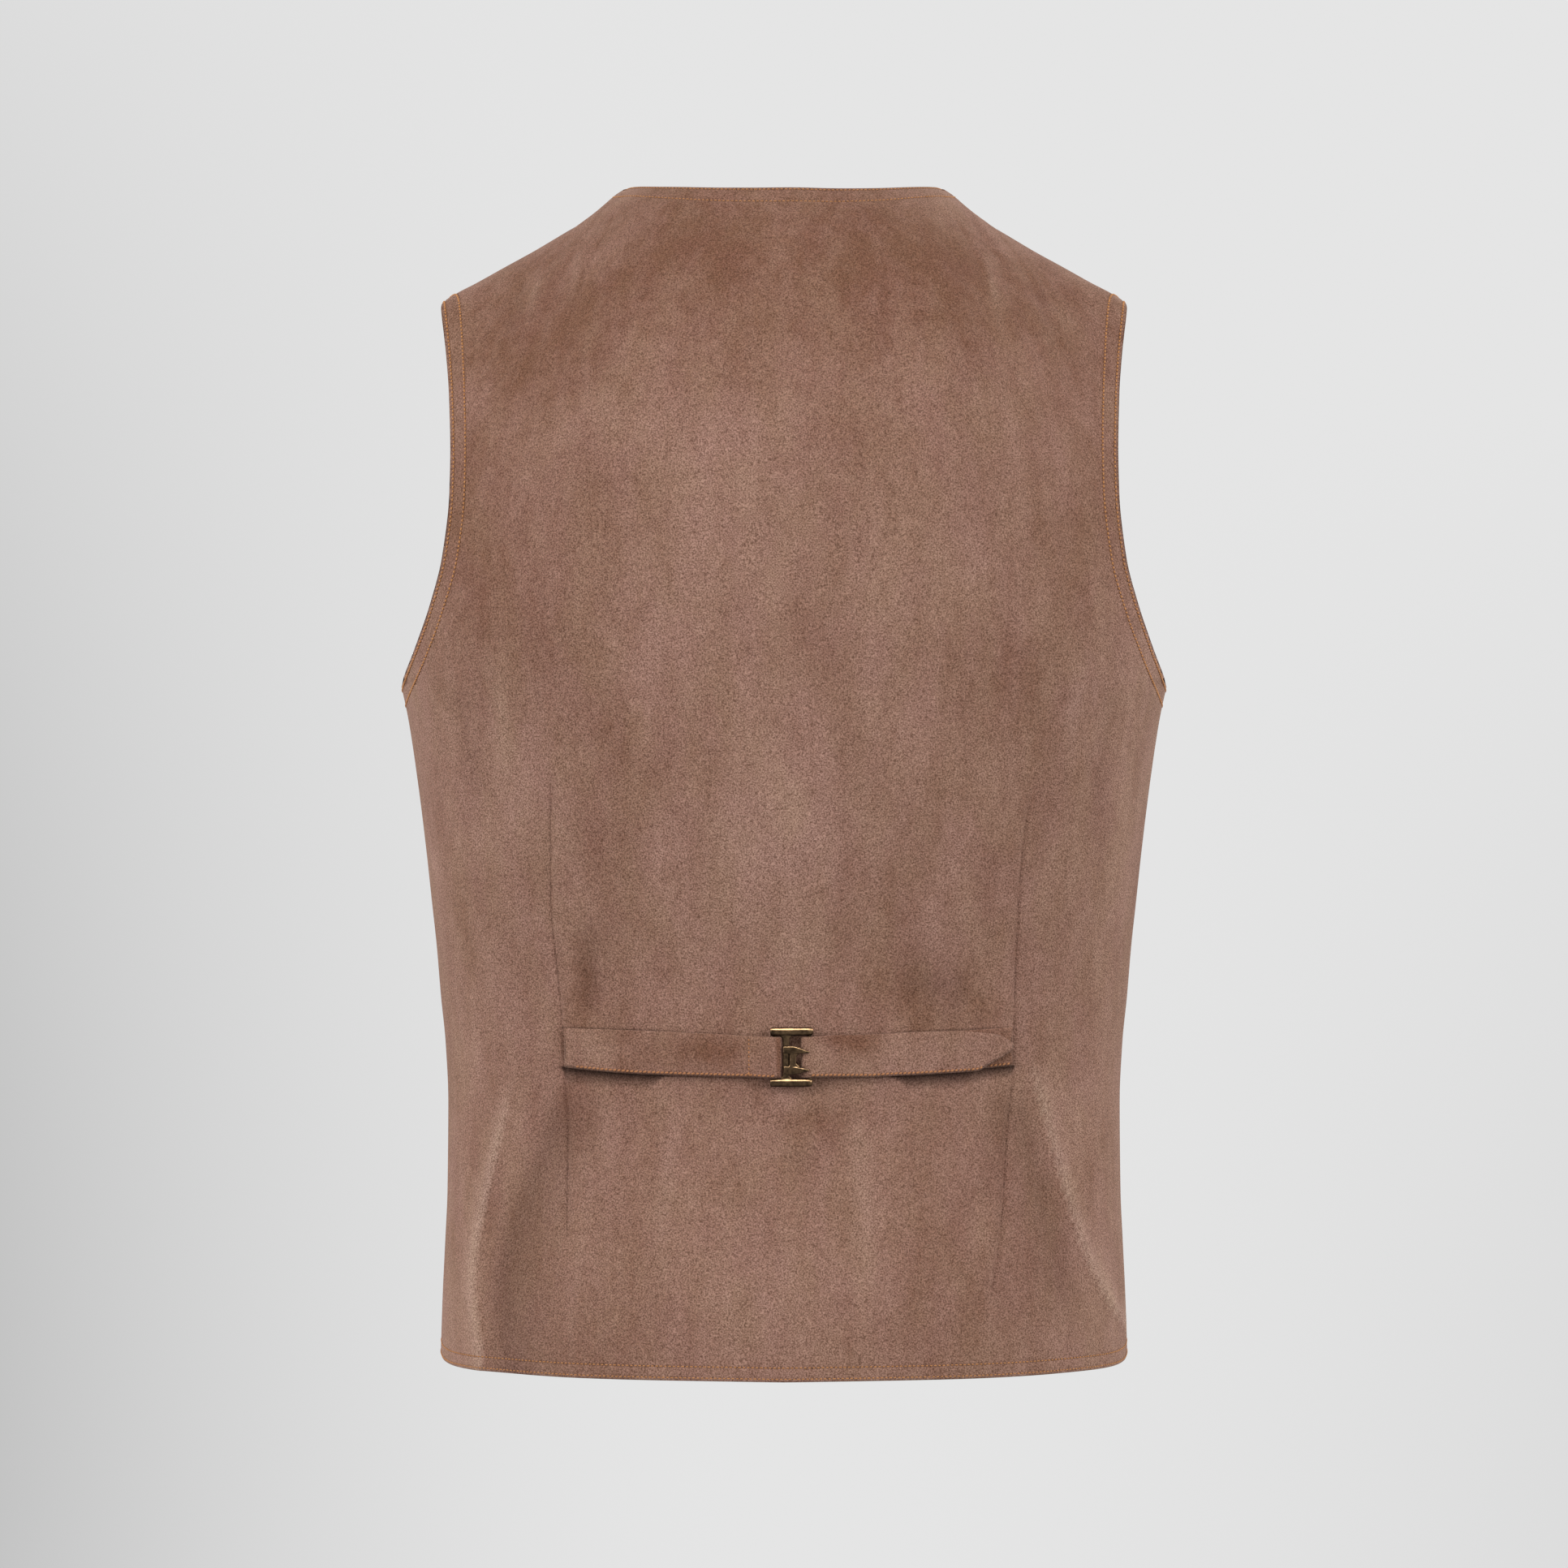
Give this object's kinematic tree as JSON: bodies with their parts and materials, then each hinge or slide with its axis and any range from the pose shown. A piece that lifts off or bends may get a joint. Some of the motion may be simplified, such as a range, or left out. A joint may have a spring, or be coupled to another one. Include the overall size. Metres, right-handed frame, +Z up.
{
  "type": "suede waistcoat",
  "caption": "Sleeveless suede-finish waistcoat, filled out as worn, with a V neck, buttoned front, two back darts and a buckled cinch belt across the back.",
  "frame": {"origin": "midway between the shoulders, in the plane of the side and shoulder seams, about 11 mm below the neck points; the wearer's shoulders hold it there", "axes": "+Z up, +Y out of the back, -Y out of the buttoned front, +X to the wearer's left"},
  "size_m": [0.3862, 0.2478, 0.6093],
  "materials": {
    "suede": "matte brushed nap, mottled brown",
    "brass": "antique, darkened in the hollows",
    "button": "dark brown, softly polished"
  },
  "bodies": {
    "root": {"back": "suede", "front_left": "suede", "front_right": "suede", "strap_left": "suede", "strap_right": "suede", "buckle_frame": "brass", "buckle_prongs": "brass", "button_1": "button", "button_2": "button", "button_3": "button", "button_4": "button", "button_5": "button"}
  },
  "joints": []
}
